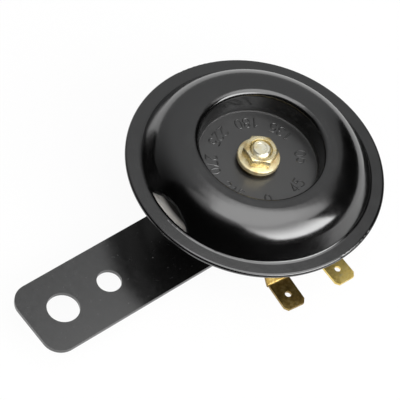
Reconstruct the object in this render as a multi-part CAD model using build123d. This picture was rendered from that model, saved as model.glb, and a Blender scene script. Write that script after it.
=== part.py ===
from build123d import *
import math
import os

# Electromagnetic disc horn for a vehicle, with its mounting bracket.
# Millimetres. The origin is the centre of the bracket's large hole, on the face that
# lies against the vehicle. +Z is the sound axis and points out of the front of the horn.
# +X points from the large hole to the axis of the horn.

# ---- driving dimensions ----------------------------------------------------------

# bracket: flat steel strip
bracket_sheet = 1.2
bracket_width = 21.0
bracket_end_beyond_hole = 10.0
bracket_corner = 5.0
large_hole_radius = 4.25
small_hole_radius = 3.25
hole_pitch = 14.5
hole_to_horn_axis = 59.0

# housing: one pressing, a coil pot with a wider pan and a rolled rim in front of it
housing_sheet = 0.9
pot_radius = 18.0
pot_depth = 8.34
pan_width = 7.8
pan_depth = 4.65
rim_width = 4.6
rim_lip_width = 1.8
pot_corner = 2.2
pan_corner = 1.6
step_corner = 0.6
rim_corner = 1.0

# front edge of the housing: what the rolled rim holds
gasket_sheet = 0.5
diaphragm_sheet = 0.35
clamp_ring_thickness = 0.8
clamp_ring_width = 3.0
rim_radial_clearance = 0.1
bead_inside_pan = 6.8
bead_width = 5.0
bead_height = 0.6

# tone disc: one pressing with a hemmed edge
disc_radius = 34.0
disc_sheet = 0.7
hem_width = 2.8
rim_gap = 0.9
flange_width = 3.8
wall_slope = 56.0
disc_lip_radius = 16.35
disc_crest_height = 8.3
recess_radius = 15.85
recess_floor_height = 1.25
recess_corner = 0.4
lip_corner = 1.5
shoulder_corner = 9.6
crest_least_flat = 0.1
foot_corner = 0.9
hem_edge_radius = 0.686
vent_inside_foot = 0.3
vent_inner_curve = 30.5
vent_depth = 2.1

# shape common to both nuts: the flat of each face as a part of the width across flats
nut_face_part = 0.48
nut_chamfer_angle = 30.0

# shape common to all rivets: rounding of the head as a part of its height
rivet_rounding_part = 0.4

# fastening of the tone disc and the diaphragm on the armature
stud_radius = 2.5
thread_clearance = 0.05
hole_clearance = 0.15
hub_washer_radius = 7.5
hub_washer_thickness = 0.8
spacer_radius = 5.5
washer_radius = 5.5
washer_thickness = 1.0
dished_radius = 5.6
dished_thickness = 0.8
dished_rise = 0.7
front_nut_flats = 8.0
front_nut_height = 2.7
front_nut_turn = -98.0
stud_above_nut = 0.45
stud_chamfer = 0.5

# magnet
pole_radius = 6.0
pole_chamfer = 0.3
air_gap = 0.9
plunger_radius = 5.5
plunger_length = 2.5
armature_flange_radius = 9.0
armature_flange_thickness = 1.6
armature_chamfer = 0.4
stud_depth_in_armature = 3.4
bobbin_wall = 0.9
bobbin_flange_thickness = 0.9
bobbin_clearance = 1.5
bobbin_height = 8.7
bobbin_bore_clearance = 0.15
winding_margin = 0.8

# rear fastening: stud of the pole, washer and nut
rear_stud_radius = 3.0
rear_stud_length = 8.6
rear_hole_clearance = 0.2
rear_washer_radius = 5.5
rear_washer_thickness = 1.5
rear_nut_flats = 10.0
rear_nut_height = 5.0
rear_nut_turn = 15.0
lock_washer_split = 1.0
rear_stud_chamfer = 0.7

# leads of the coil, up past the bobbin and out to the rivets
lead_radius = 0.3
lead_start_level = 7.5
lead_clearance = 0.45
lead_sweep = 20.0
lead_sweep_at_flange = 15.0
lead_sweep_at_middle = 10.0

# contact breaker
breaker_azimuth = -10.0
breaker_offset = 9.5
arm_width = 6.0
arm_sheet = 0.5
arm_tip_inside_pot = 3.0
arm_tip_width = 4.2
arm_tip_length = 1.0
contact_from_tip = 1.7
contact_radius = 1.5
moving_contact_height = 0.5
fixed_contact_height = 0.6
contact_gap = 0.03
pad_place = 7.7
pad_radius = 1.2
pad_height = 0.35
pad_gap = 0.05
arm_clearance = 0.1
upper_insulator_thickness = 0.8
contact_support_sheet = 0.7
support_foot_length = 1.2
support_beyond_contact = 0.3
support_before_rivet = 8.0
support_past_screw = 7.0
support_end_margin = 1.0
support_leg_beyond_tip = 1.4
support_arm_width = 5.0
breaker_rivet_radius = 1.25
breaker_rivet_head_radius = 1.9
breaker_rivet_head_height = 0.8
breaker_insulator_radius = 2.6
outer_washer_radius = 2.5
outer_washer_thickness = 0.8

# terminals
terminal_azimuth = -94.45
terminal_spacing = 15.34
terminal_splay = 2.2
terminal_sheet = 0.8
blade_width = 6.3
blade_reach = 34.65
blade_drop = 1.75
blade_tip_chamfer_across = 0.85
blade_tip_chamfer_along = 1.1
blade_hole_from_tip = 4.0
blade_hole_radius = 0.85
root_width = 7.0
root_beyond_rivet = 2.2
root_bend_inside_pan = 1.1
root_ramp = 1.6
bend_radius = 0.9
board_thickness = 1.6
board_inside_pan = 1.5
board_half_length = 10.8
board_corner = 3.0
board_clearance = 0.8
terminal_rivet_radius = 1.5
terminal_rivet_head_radius = 2.2
terminal_rivet_head_height = 0.8
bush_wall = 0.7
inner_insulator_thickness = 0.8
floor_margin = 0.2
support_margin = 0.6

# adjusting screw
screw_from_board = 0.6
screw_beyond_rivets = 1.0
screw_radius = 2.0
screw_head_radius = 2.8
screw_head_height = 1.6
screw_head_rounding = 0.5
screw_slot_width = 0.8
screw_slot_depth = 0.8
screw_head_gap = 0.6

# ---- levels along the sound axis, from the back to the front ----------------------

bracket_front = bracket_sheet
pot_floor = bracket_front + housing_sheet
pan_back = bracket_front + pot_depth
pan_floor = pan_back + housing_sheet
rim_back = pan_back + pan_depth
gasket_back = rim_back + housing_sheet
diaphragm_back = gasket_back + gasket_sheet
diaphragm_front = diaphragm_back + diaphragm_sheet
rim_lip_back = diaphragm_front + clamp_ring_thickness
rim_front = rim_lip_back + housing_sheet
hem_back = rim_front + rim_gap
disc_flange_front = hem_back + 2 * disc_sheet
recess_floor = disc_flange_front + recess_floor_height
disc_crest = disc_flange_front + disc_crest_height
recess_floor_back = recess_floor - disc_sheet
armature_front = diaphragm_back - hub_washer_thickness
armature_flange_back = armature_front - armature_flange_thickness
armature_back = armature_flange_back - plunger_length
pole_front = armature_back - air_gap
front_washer_front = recess_floor + washer_thickness
dished_front = front_washer_front + dished_thickness + dished_rise
front_nut_front = dished_front + front_nut_height
arm_front = armature_flange_back - pad_gap - pad_height
arm_back = arm_front - arm_sheet
moving_contact_front = arm_front + moving_contact_height
fixed_contact_back = moving_contact_front + contact_gap
support_arm_back = fixed_contact_back + fixed_contact_height
board_back = pan_back - board_thickness
root_back = board_back - terminal_sheet

# ---- places across the sound axis -------------------------------------------------

pan_radius = pot_radius + pan_width
rim_radius = pan_radius + rim_width
rim_lip_radius = rim_radius - rim_lip_width
clamp_ring_radius = rim_radius - clamp_ring_width
bead_radius = pan_radius - bead_inside_pan
bobbin_flange_radius = pot_radius - housing_sheet - bobbin_clearance
lead_past_bobbin = bobbin_flange_radius + lead_clearance + lead_radius

hem_inner_radius = disc_radius - hem_width
disc_foot_radius = disc_radius - flange_width
wall_width = disc_crest_height / math.tan(math.radians(wall_slope))
disc_shoulder_radius = disc_foot_radius - wall_width
vent_outer_radius = disc_foot_radius - vent_inside_foot

# the shoulder's bend is no larger than the crest beside the lip has room for
recess_wall_angle = math.atan2(
    disc_crest_height - recess_floor_height, disc_lip_radius - recess_radius)
lip_bend_width = lip_corner * math.tan(recess_wall_angle / 2)
shoulder_room = disc_shoulder_radius - disc_lip_radius - lip_bend_width - crest_least_flat
shoulder_bend = min(
    shoulder_corner, shoulder_room / math.tan(math.radians(wall_slope) / 2))

# flat ring of the pan's floor, between the bends beside it, with the rivets on its middle
floor_inner = pot_radius + step_corner
floor_outer = pan_radius - pan_corner
rivet_circle = (floor_inner + floor_outer) / 2
terminal_rivet_place = math.sqrt(rivet_circle ** 2 - (terminal_spacing / 2) ** 2)
arm_rivet_place = math.sqrt(rivet_circle ** 2 - breaker_offset ** 2)
arm_tip_place = arm_tip_inside_pot - pot_radius
contact_place = arm_tip_place + contact_from_tip
support_leg_place = arm_tip_place - support_leg_beyond_tip
screw_place = rivet_circle + screw_beyond_rivets
screw_across = board_half_length + screw_from_board + screw_head_radius
screw_azimuth = terminal_azimuth + math.degrees(math.asin(screw_across / screw_place))
root_bend = pan_radius - root_bend_inside_pan
blade_start = root_bend + root_ramp
board_reach = pan_radius - board_inside_pan

# ---- shared shapes ---------------------------------------------------------------

horn_axis = Pos(hole_to_horn_axis, 0, 0)
breaker_frame = horn_axis * Rot(0, 0, breaker_azimuth)
terminal_frame = horn_axis * Rot(0, 0, terminal_azimuth)


def disc(low, high, radius, hole=0.0):
    """Round plate between two levels, with an optional round hole."""
    bottom = (Align.CENTER, Align.CENTER, Align.MIN)
    solid = Pos(0, 0, low) * Cylinder(radius, high - low, align=bottom)
    if hole:
        solid -= Pos(0, 0, low) * Cylinder(hole, high - low, align=bottom)
    return solid


def block(x, y, z):
    """Box between the two ends given for each axis."""
    size = (x[1] - x[0], y[1] - y[0], z[1] - z[0])
    return Pos(x[0], y[0], z[0]) * Box(*size, align=(Align.MIN, Align.MIN, Align.MIN))


def turned(points):
    """Solid turned about Z from a closed outline of (radius, level) points."""
    return revolve(Plane.XZ * make_face(Polyline(*points, close=True)), Axis.Z)


def sheet_outline(points, radii, thickness, side):
    """Section of bent sheet: a line with rounded bends, thickened to one side."""
    line = FilletPolyline(*points, radius=radii)
    return make_face(offset(line, thickness, side=side, kind=Kind.INTERSECTION))


def chamfered_rod(low, high, radius, size, end):
    """Round bar with a chamfer at its back end (0) or its front end (-1)."""
    rod = disc(low, high, radius)
    rim = rod.edges().filter_by(GeomType.CIRCLE).sort_by(Axis.Z)[end]
    return chamfer(rim, size)


def hexagon_nut(low, flats, height, bore):
    """Hexagon nut with its corners chamfered on both faces."""
    corner = flats / math.sqrt(3)
    face = nut_face_part * flats
    drop = (corner - face) * math.tan(math.radians(nut_chamfer_angle))
    high = low + height
    body = Pos(0, 0, low) * extrude(RegularPolygon(flats / 2, 6, major_radius=False), height)
    limit = turned([
        (0, low), (face, low), (corner, low + drop),
        (corner, high - drop), (face, high), (0, high),
    ])
    return (body & limit) - disc(low, high, bore)


def rivet(low, high, radius, head_radius, head_height):
    """Solid rivet: a shank between two levels with a rounded head beyond each."""
    rounding = rivet_rounding_part * head_height
    shank = disc(low, high, radius)
    lower = disc(low - head_height, low, head_radius)
    lower = fillet(lower.edges().sort_by(Axis.Z)[0], rounding)
    upper = disc(high, high + head_height, head_radius)
    upper = fillet(upper.edges().sort_by(Axis.Z)[-1], rounding)
    return shank + lower + upper


parts = {}

# ---- bracket ---------------------------------------------------------------------

strip = Polyline(
    (hole_to_horn_axis, -bracket_width / 2),
    (-bracket_end_beyond_hole, -bracket_width / 2),
    (-bracket_end_beyond_hole, bracket_width / 2),
    (hole_to_horn_axis, bracket_width / 2),
)
round_end = ThreePointArc(
    (hole_to_horn_axis, bracket_width / 2),
    (hole_to_horn_axis + bracket_width / 2, 0),
    (hole_to_horn_axis, -bracket_width / 2),
)
strip_face = make_face(strip + round_end)
outer_corners = strip_face.vertices().group_by(Axis.X)[0]
strip_face = fillet(outer_corners, bracket_corner)
bracket = extrude(strip_face, bracket_sheet)
bracket -= disc(0, bracket_sheet, large_hole_radius)
bracket -= Pos(hole_pitch, 0, 0) * disc(0, bracket_sheet, small_hole_radius)
stud_hole = disc(0, bracket_sheet, rear_stud_radius + rear_hole_clearance)
parts["bracket"] = bracket - horn_axis * stud_hole

# ---- housing ---------------------------------------------------------------------

housing_line = [
    (rear_stud_radius + rear_hole_clearance, bracket_front),
    (pot_radius, bracket_front),
    (pot_radius, pan_back),
    (pan_radius, pan_back),
    (pan_radius, rim_back),
    (rim_radius, rim_back),
    (rim_radius, rim_front),
    (rim_lip_radius, rim_front),
]
housing_bends = [pot_corner, step_corner, pan_corner, step_corner, rim_corner, rim_corner]
housing_section = sheet_outline(housing_line, housing_bends, housing_sheet, Side.LEFT)
housing = horn_axis * revolve(Plane.XZ * housing_section, Axis.Z)

# holes through the pan for the rivets' bushes and the adjusting screw
bush_hole_radius = terminal_rivet_radius + thread_clearance + bush_wall + thread_clearance
for side in (-1, 1):
    hole = Pos(terminal_rivet_place, side * terminal_spacing / 2, 0)
    housing -= terminal_frame * hole * disc(pan_back, pan_floor, bush_hole_radius)
breaker_bush_radius = breaker_rivet_radius + thread_clearance + bush_wall
arm_rivet = breaker_frame * Pos(breaker_offset, arm_rivet_place, 0)
housing -= arm_rivet * disc(pan_back, pan_floor, breaker_bush_radius + thread_clearance)
screw_frame = horn_axis * Rot(0, 0, screw_azimuth) * Pos(screw_place, 0, 0)
housing -= screw_frame * disc(pan_back, pan_floor, screw_radius + thread_clearance)
parts["housing"] = housing

# ---- what the rolled rim holds ---------------------------------------------------

seat_radius = rim_radius - housing_sheet - rim_radial_clearance
parts["rim_gasket"] = horn_axis * disc(
    gasket_back, diaphragm_back, seat_radius, pan_radius + step_corner)
parts["clamp_ring"] = horn_axis * disc(
    diaphragm_front, rim_lip_back, seat_radius, clamp_ring_radius)

diaphragm_hole = stud_radius + hole_clearance
bead_corner = bead_width / 2
diaphragm_line = [
    (diaphragm_hole, diaphragm_front),
    (bead_radius - bead_width / 2, diaphragm_front),
    (bead_radius, diaphragm_front + bead_height),
    (bead_radius + bead_width / 2, diaphragm_front),
    (seat_radius, diaphragm_front),
]
bead_bends = [bead_corner, bead_corner, bead_corner]
diaphragm_section = sheet_outline(diaphragm_line, bead_bends, diaphragm_sheet, Side.RIGHT)
parts["diaphragm"] = horn_axis * revolve(Plane.XZ * diaphragm_section, Axis.Z)

# ---- tone disc -------------------------------------------------------------------

disc_line = [
    (stud_radius + hole_clearance, recess_floor),
    (recess_radius, recess_floor),
    (disc_lip_radius, disc_crest),
    (disc_shoulder_radius, disc_crest),
    (disc_foot_radius, disc_flange_front),
    (disc_radius - disc_sheet, disc_flange_front),
]
disc_bends = [recess_corner, lip_corner, shoulder_bend, foot_corner]
disc_section = sheet_outline(disc_line, disc_bends, disc_sheet, Side.RIGHT)
hem = make_face(Polyline(
    (hem_inner_radius, hem_back), (disc_radius, hem_back),
    (disc_radius, disc_flange_front), (hem_inner_radius, disc_flange_front), close=True,
))
hem = fillet(hem.vertices().group_by(Axis.X)[-1], hem_edge_radius)
tone_disc = revolve(Plane.XZ * (disc_section + hem), Axis.Z)

# vent pierced through the foot of the raised ring, over the bracket
vent_face = Circle(vent_outer_radius) & Pos(
    vent_depth - vent_outer_radius - vent_inner_curve, 0) * Circle(vent_inner_curve)
vent = Pos(0, 0, hem_back) * extrude(vent_face, disc_crest - hem_back)
parts["tone_disc"] = horn_axis * (tone_disc - vent)

# ---- armature group --------------------------------------------------------------

armature = turned([
    (0, armature_back), (plunger_radius, armature_back),
    (plunger_radius, armature_flange_back), (armature_flange_radius, armature_flange_back),
    (armature_flange_radius, armature_front), (0, armature_front),
])
armature_edges = armature.edges().filter_by(GeomType.CIRCLE)
armature = chamfer(armature_edges.group_by(Axis.Z)[0], armature_chamfer)
stud_seat = armature_front - stud_depth_in_armature
armature -= disc(stud_seat, armature_front, stud_radius + thread_clearance)
parts["armature"] = horn_axis * armature

stud_front = front_nut_front + stud_above_nut
parts["armature_stud"] = horn_axis * chamfered_rod(
    stud_seat, stud_front, stud_radius, stud_chamfer, -1)

clamp_hole = stud_radius + hole_clearance
parts["rear_hub_washer"] = horn_axis * disc(
    armature_front, diaphragm_back, hub_washer_radius, clamp_hole)
hub_washer_front = diaphragm_front + hub_washer_thickness
parts["front_hub_washer"] = horn_axis * disc(
    diaphragm_front, hub_washer_front, hub_washer_radius, clamp_hole)
parts["spacer_collar"] = horn_axis * disc(
    hub_washer_front, recess_floor_back, spacer_radius, clamp_hole)
parts["front_washer"] = horn_axis * disc(
    recess_floor, front_washer_front, washer_radius, clamp_hole)

dished_edge = front_washer_front
parts["dished_washer"] = horn_axis * turned([
    (clamp_hole, dished_edge + dished_rise), (dished_radius, dished_edge),
    (dished_radius, dished_edge + dished_thickness),
    (front_nut_flats / 2, dished_front), (clamp_hole, dished_front),
])
parts["front_nut"] = horn_axis * Rot(0, 0, front_nut_turn) * hexagon_nut(
    dished_front, front_nut_flats, front_nut_height, stud_radius + thread_clearance)

# ---- coil and pole ---------------------------------------------------------------

pole = chamfered_rod(pot_floor, pole_front, pole_radius, pole_chamfer, -1)
rear_stud = chamfered_rod(
    -rear_stud_length, pot_floor, rear_stud_radius, rear_stud_chamfer, 0)
parts["pole_core"] = horn_axis * (pole + rear_stud)

bobbin_bore = pole_radius + bobbin_bore_clearance
bobbin_tube = bobbin_bore + bobbin_wall
bobbin_front = pot_floor + bobbin_height
lower_flange = pot_floor + bobbin_flange_thickness
upper_flange = bobbin_front - bobbin_flange_thickness
parts["coil_bobbin"] = horn_axis * turned([
    (bobbin_bore, pot_floor), (bobbin_flange_radius, pot_floor),
    (bobbin_flange_radius, lower_flange), (bobbin_tube, lower_flange),
    (bobbin_tube, upper_flange), (bobbin_flange_radius, upper_flange),
    (bobbin_flange_radius, bobbin_front), (bobbin_bore, bobbin_front),
])
winding_radius = bobbin_flange_radius - winding_margin
parts["coil_winding"] = horn_axis * disc(
    lower_flange, upper_flange, winding_radius, bobbin_tube)

rear_washer = disc(-rear_washer_thickness, 0, rear_washer_radius,
                   rear_stud_radius + thread_clearance)
half_split = lock_washer_split / 2
split = block((0, rear_washer_radius), (-half_split, half_split), (-rear_washer_thickness, 0))
parts["bracket_lock_washer"] = horn_axis * (rear_washer - split)
rear_nut_back = -rear_washer_thickness - rear_nut_height
parts["bracket_nut"] = horn_axis * Rot(0, 0, rear_nut_turn) * hexagon_nut(
    rear_nut_back, rear_nut_flats, rear_nut_height, rear_stud_radius + thread_clearance)

# ---- contact breaker -------------------------------------------------------------

arm_tip_middle = arm_tip_place + arm_tip_length / 2
arm_outline = make_hull(
    (Pos(breaker_offset, arm_rivet_place) * Circle(arm_width / 2)).edges()
    + (Pos(breaker_offset, arm_tip_middle) * Rectangle(arm_tip_width, arm_tip_length)).edges())
arm = Pos(0, 0, arm_back) * extrude(arm_outline, arm_sheet)
arm_rivet_clearance = breaker_rivet_radius + hole_clearance
arm -= Pos(breaker_offset, arm_rivet_place, 0) * disc(arm_back, arm_front, arm_rivet_clearance)
parts["breaker_arm"] = breaker_frame * arm

contact_spot = breaker_frame * Pos(breaker_offset, contact_place, 0)
parts["moving_contact"] = contact_spot * disc(arm_front, moving_contact_front, contact_radius)
parts["fixed_contact"] = contact_spot * disc(
    fixed_contact_back, support_arm_back, contact_radius)
parts["breaker_pad"] = breaker_frame * Pos(pad_place, 0, 0) * disc(
    arm_front, arm_front + pad_height, pad_radius)

lower_insulator_front = arm_back - arm_clearance
upper_insulator_back = arm_front + arm_clearance
upper_insulator_front = upper_insulator_back + upper_insulator_thickness
rivet_bore = breaker_rivet_radius + thread_clearance
lower_insulator = disc(pan_floor, lower_insulator_front, breaker_insulator_radius, rivet_bore)
lower_insulator += disc(pan_back, pan_floor, breaker_bush_radius, rivet_bore)
parts["breaker_insulator_lower"] = arm_rivet * lower_insulator
parts["breaker_insulator_upper"] = arm_rivet * disc(
    upper_insulator_back, upper_insulator_front, breaker_insulator_radius, rivet_bore)
outer_washer_back = pan_back - outer_washer_thickness
parts["breaker_outer_washer"] = arm_rivet * disc(
    outer_washer_back, pan_back, outer_washer_radius, rivet_bore)
parts["breaker_rivet"] = arm_rivet * rivet(
    outer_washer_back, upper_insulator_front, breaker_rivet_radius,
    breaker_rivet_head_radius, breaker_rivet_head_height)


def pan_sector(low, high, inner, outer, start, end):
    """Plate in the shape of a sector of a ring, lying on the floor of the pan."""
    plate = disc(low, high, outer, inner)
    middle = (start + end) / 2
    half = (end - start) / 2
    far = 2 * outer
    corner = far * math.tan(math.radians(half))
    wedge = make_face(Polyline((0, 0), (far, -corner), (far, corner), close=True))
    return plate & Rot(0, 0, middle) * Pos(0, 0, low) * extrude(wedge, high - low)


# support of the fixed contact: base on the pan's floor, a leg and an arm over the contact
rivet_angle = math.degrees(math.atan2(terminal_spacing / 2, terminal_rivet_place))
sector_start = terminal_azimuth + rivet_angle - support_before_rivet
sector_end = screw_azimuth + support_past_screw
support_base_back = pan_floor + inner_insulator_thickness
support_base_front = support_base_back + contact_support_sheet
support_arm_front = support_arm_back + contact_support_sheet
support_base = pan_sector(
    support_base_back, support_base_front, floor_inner + support_margin,
    floor_outer - support_margin,
    sector_start + support_end_margin, sector_end - support_end_margin)
half_arm = support_arm_width / 2
leg_face = support_leg_place - contact_support_sheet / 2
across = (breaker_offset - half_arm, breaker_offset + half_arm)
foot = block(across, (leg_face - support_foot_length, leg_face + contact_support_sheet),
             (support_base_back, support_base_front))
leg = block(across, (leg_face, leg_face + contact_support_sheet),
            (support_base_back, support_arm_front))
reach_end = contact_place + contact_radius + support_beyond_contact
reach = block(across, (leg_face, reach_end),
              (support_arm_back, support_arm_front))
contact_support = horn_axis * support_base + breaker_frame * (foot + leg + reach)
rivet_b = terminal_frame * Pos(terminal_rivet_place, terminal_spacing / 2, 0)
terminal_rivet_bore = terminal_rivet_radius + thread_clearance
contact_support -= rivet_b * disc(support_base_back, support_base_front, terminal_rivet_bore)
parts["contact_support"] = contact_support

support_insulator = horn_axis * pan_sector(
    pan_floor, support_base_back, floor_inner + floor_margin, floor_outer - floor_margin,
    sector_start, sector_end)
support_insulator -= rivet_b * disc(pan_floor, support_base_back, terminal_rivet_bore)
parts["support_insulator"] = support_insulator

# ---- terminals -------------------------------------------------------------------

board_outline = Rectangle(2 * board_reach, 2 * board_half_length)
board_outline = fillet(board_outline.vertices(), board_corner)
board = Pos(0, 0, board_back) * extrude(board_outline, board_thickness)
board &= block((0, board_reach), (-board_half_length, board_half_length),
               (board_back, pan_back))
board -= disc(board_back, pan_back, pot_radius + board_clearance)
for side in (-1, 1):
    spot = Pos(terminal_rivet_place, side * terminal_spacing / 2, 0)
    board += spot * disc(pan_back, pan_floor, terminal_rivet_bore + bush_wall)
    board -= spot * disc(board_back, pan_floor, terminal_rivet_bore)
parts["terminal_board"] = terminal_frame * board

root_middle = board_back - terminal_sheet / 2
blade_middle = root_middle - blade_drop
half_sheet = terminal_sheet / 2
root_end = terminal_rivet_place - root_beyond_rivet
terminal_line = [
    (root_end, root_middle + half_sheet), (root_bend, root_middle + half_sheet),
    (blade_start, blade_middle + half_sheet), (blade_reach, blade_middle + half_sheet),
]
terminal_section = sheet_outline(
    terminal_line, [bend_radius, bend_radius], terminal_sheet, Side.RIGHT)
strip_body = extrude(Plane.XZ * terminal_section, root_width / 2, both=True)
half_blade = blade_width / 2
half_root = root_width / 2
tip_half = half_blade - blade_tip_chamfer_across
tip_start = blade_reach - blade_tip_chamfer_along
terminal_plan = make_face(Polyline(
    (root_end, -half_root), (blade_start, -half_root), (blade_start, -half_blade),
    (tip_start, -half_blade), (blade_reach, -tip_half), (blade_reach, tip_half),
    (tip_start, half_blade), (blade_start, half_blade), (blade_start, half_root),
    (root_end, half_root), close=True,
))
plan_body = Pos(0, 0, blade_middle - terminal_sheet) * extrude(
    terminal_plan, blade_drop + 2 * terminal_sheet)
terminal = strip_body & plan_body
terminal -= Pos(blade_reach - blade_hole_from_tip, 0, 0) * disc(
    blade_middle - half_sheet, blade_middle + half_sheet, blade_hole_radius)
terminal -= Pos(terminal_rivet_place, 0, 0) * disc(root_back, board_back, terminal_rivet_bore)

for name, side in (("a", -1), ("b", 1)):
    rivet_spot = Pos(terminal_rivet_place, side * terminal_spacing / 2, 0)
    splayed = Rot(0, 0, side * terminal_splay) * Pos(-terminal_rivet_place, 0, 0)
    parts["terminal_" + name] = terminal_frame * rivet_spot * splayed * terminal

inner_washer_front = pan_floor + inner_insulator_thickness
rivet_a = terminal_frame * Pos(terminal_rivet_place, -terminal_spacing / 2, 0)
parts["terminal_insulator"] = rivet_a * disc(
    pan_floor, inner_washer_front, terminal_rivet_head_radius + floor_margin,
    terminal_rivet_bore)
parts["terminal_rivet_a"] = rivet_a * rivet(
    root_back, inner_washer_front, terminal_rivet_radius,
    terminal_rivet_head_radius, terminal_rivet_head_height)
parts["terminal_rivet_b"] = rivet_b * rivet(
    root_back, support_base_front, terminal_rivet_radius,
    terminal_rivet_head_radius, terminal_rivet_head_height)

# ---- leads of the coil -----------------------------------------------------------

breaker_rivet_angle = breaker_azimuth + math.degrees(math.atan2(arm_rivet_place, breaker_offset))


def coil_lead(end_radial, end_angle, end_level):
    """Wire from the outside of the winding to the side of a rivet's head."""
    inner = winding_radius + lead_radius
    middle_level = (bobbin_front + end_level) / 2
    places = [
        (inner, end_angle + lead_sweep, lead_start_level),
        (lead_past_bobbin, end_angle + lead_sweep_at_flange, upper_flange),
        (lead_past_bobbin, end_angle + lead_sweep_at_middle, middle_level),
        (end_radial, end_angle, end_level),
    ]
    points = []
    for radial, angle, level in places:
        turn = math.radians(angle)
        points.append((radial * math.cos(turn), radial * math.sin(turn), level))
    path = Spline(*points)
    section = Plane(origin=path @ 0, z_dir=path % 0) * Circle(lead_radius)
    return horn_axis * sweep(section, path=path)


parts["coil_lead_start"] = coil_lead(
    rivet_circle - terminal_rivet_head_radius, terminal_azimuth - rivet_angle,
    inner_washer_front + terminal_rivet_head_height / 2)
parts["coil_lead_end"] = coil_lead(
    rivet_circle - breaker_rivet_head_radius, breaker_rivet_angle,
    upper_insulator_front + breaker_rivet_head_height / 2)

# ---- adjusting screw -------------------------------------------------------------

head_front = pan_back - screw_head_gap
head_back = head_front - screw_head_height
screw = disc(head_front, pan_floor, screw_radius)
head = disc(head_back, head_front, screw_head_radius)
head = fillet(head.edges().sort_by(Axis.Z)[0], screw_head_rounding)
slot = block((-screw_head_radius, screw_head_radius),
             (-screw_slot_width / 2, screw_slot_width / 2),
             (head_back, head_back + screw_slot_depth))
parts["adjusting_screw"] = screw_frame * (screw + head - slot)

# ---- export ----------------------------------------------------------------------

os.makedirs("parts", exist_ok=True)
for name, solid in parts.items():
    solid.label = name
    export_step(solid, os.path.join("parts", name + ".step"))
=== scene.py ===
import math
import bmesh
import bpy
from mathutils import Matrix, Vector


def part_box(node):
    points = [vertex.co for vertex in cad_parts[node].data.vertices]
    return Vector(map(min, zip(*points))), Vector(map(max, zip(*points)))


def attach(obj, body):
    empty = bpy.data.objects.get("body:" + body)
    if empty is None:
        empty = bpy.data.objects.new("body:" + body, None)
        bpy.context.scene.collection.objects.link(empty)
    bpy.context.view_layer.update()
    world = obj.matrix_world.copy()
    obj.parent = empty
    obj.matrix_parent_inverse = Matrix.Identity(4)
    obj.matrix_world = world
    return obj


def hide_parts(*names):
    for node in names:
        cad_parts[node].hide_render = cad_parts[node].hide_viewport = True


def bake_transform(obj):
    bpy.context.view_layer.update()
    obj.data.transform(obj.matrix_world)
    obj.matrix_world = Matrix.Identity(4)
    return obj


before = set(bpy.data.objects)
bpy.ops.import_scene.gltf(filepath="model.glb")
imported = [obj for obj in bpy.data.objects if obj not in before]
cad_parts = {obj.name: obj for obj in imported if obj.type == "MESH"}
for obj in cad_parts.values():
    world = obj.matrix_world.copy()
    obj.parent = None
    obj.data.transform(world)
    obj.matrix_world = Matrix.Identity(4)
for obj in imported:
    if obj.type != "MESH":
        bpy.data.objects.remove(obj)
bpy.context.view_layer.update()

# Electromagnetic disc horn of a vehicle, with its mounting strap. Metres. The origin is
# the centre of the strap's large hole on its rear face, and +Z is the way the sound leaves.

MM = 0.001
horn_x = 59.0 * MM


# ---- studio --------------------------------------------------------------------------
# A white table, a soft box overhead, a lit sheet of cloth on the right and a fill behind
# the camera. Dark cloth low down on the camera's side and a grey card on the far side show
# only in what is glossy, so that black paint stays black, and they give and take no light.

def studio_mesh(name, points, faces, material, seen_by_camera=True):
    mesh = bpy.data.meshes.new(name)
    mesh.from_pydata(points, [], faces)
    mesh.materials.append(material)
    sheet = bpy.data.objects.new(name, mesh)
    bpy.context.scene.collection.objects.link(sheet)
    sheet.visible_camera = seen_by_camera
    return sheet


def seen_directly(tree):
    """1 for what the camera sees, itself or in a gloss or through glass, and 0 for light."""
    path = tree.nodes.new("ShaderNodeLightPath")
    either = tree.nodes.new("ShaderNodeMath")
    either.operation = "MAXIMUM"
    any_of = tree.nodes.new("ShaderNodeMath")
    any_of.operation = "MAXIMUM"
    tree.links.new(path.outputs["Is Camera Ray"], either.inputs[0])
    tree.links.new(path.outputs["Is Glossy Ray"], either.inputs[1])
    tree.links.new(either.outputs[0], any_of.inputs[0])
    tree.links.new(path.outputs["Is Transmission Ray"], any_of.inputs[1])
    return any_of.outputs[0]


table_top, table_half, table_grey = -8.7 * MM, 6.0, 0.92
shadow_share, white_glow = 0.06, 1.0

table_paint = bpy.data.materials.new("white_table")
table_paint.use_nodes = True
tree = table_paint.node_tree
tree.nodes.clear()
table_out = tree.nodes.new("ShaderNodeOutputMaterial")
table_mix = tree.nodes.new("ShaderNodeMixShader")
table_matt = tree.nodes.new("ShaderNodeBsdfDiffuse")
table_matt.inputs["Color"].default_value = (table_grey, table_grey, table_grey, 1)
table_white = tree.nodes.new("ShaderNodeEmission")
table_white.inputs["Color"].default_value = (1, 1, 1, 1)
table_white.inputs["Strength"].default_value = white_glow
share = tree.nodes.new("ShaderNodeMath")
share.operation = "MULTIPLY"
share.inputs[1].default_value = 1.0 - shadow_share
tree.links.new(seen_directly(tree), share.inputs[0])
tree.links.new(share.outputs[0], table_mix.inputs[0])
tree.links.new(table_matt.outputs[0], table_mix.inputs[1])
tree.links.new(table_white.outputs[0], table_mix.inputs[2])
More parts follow.
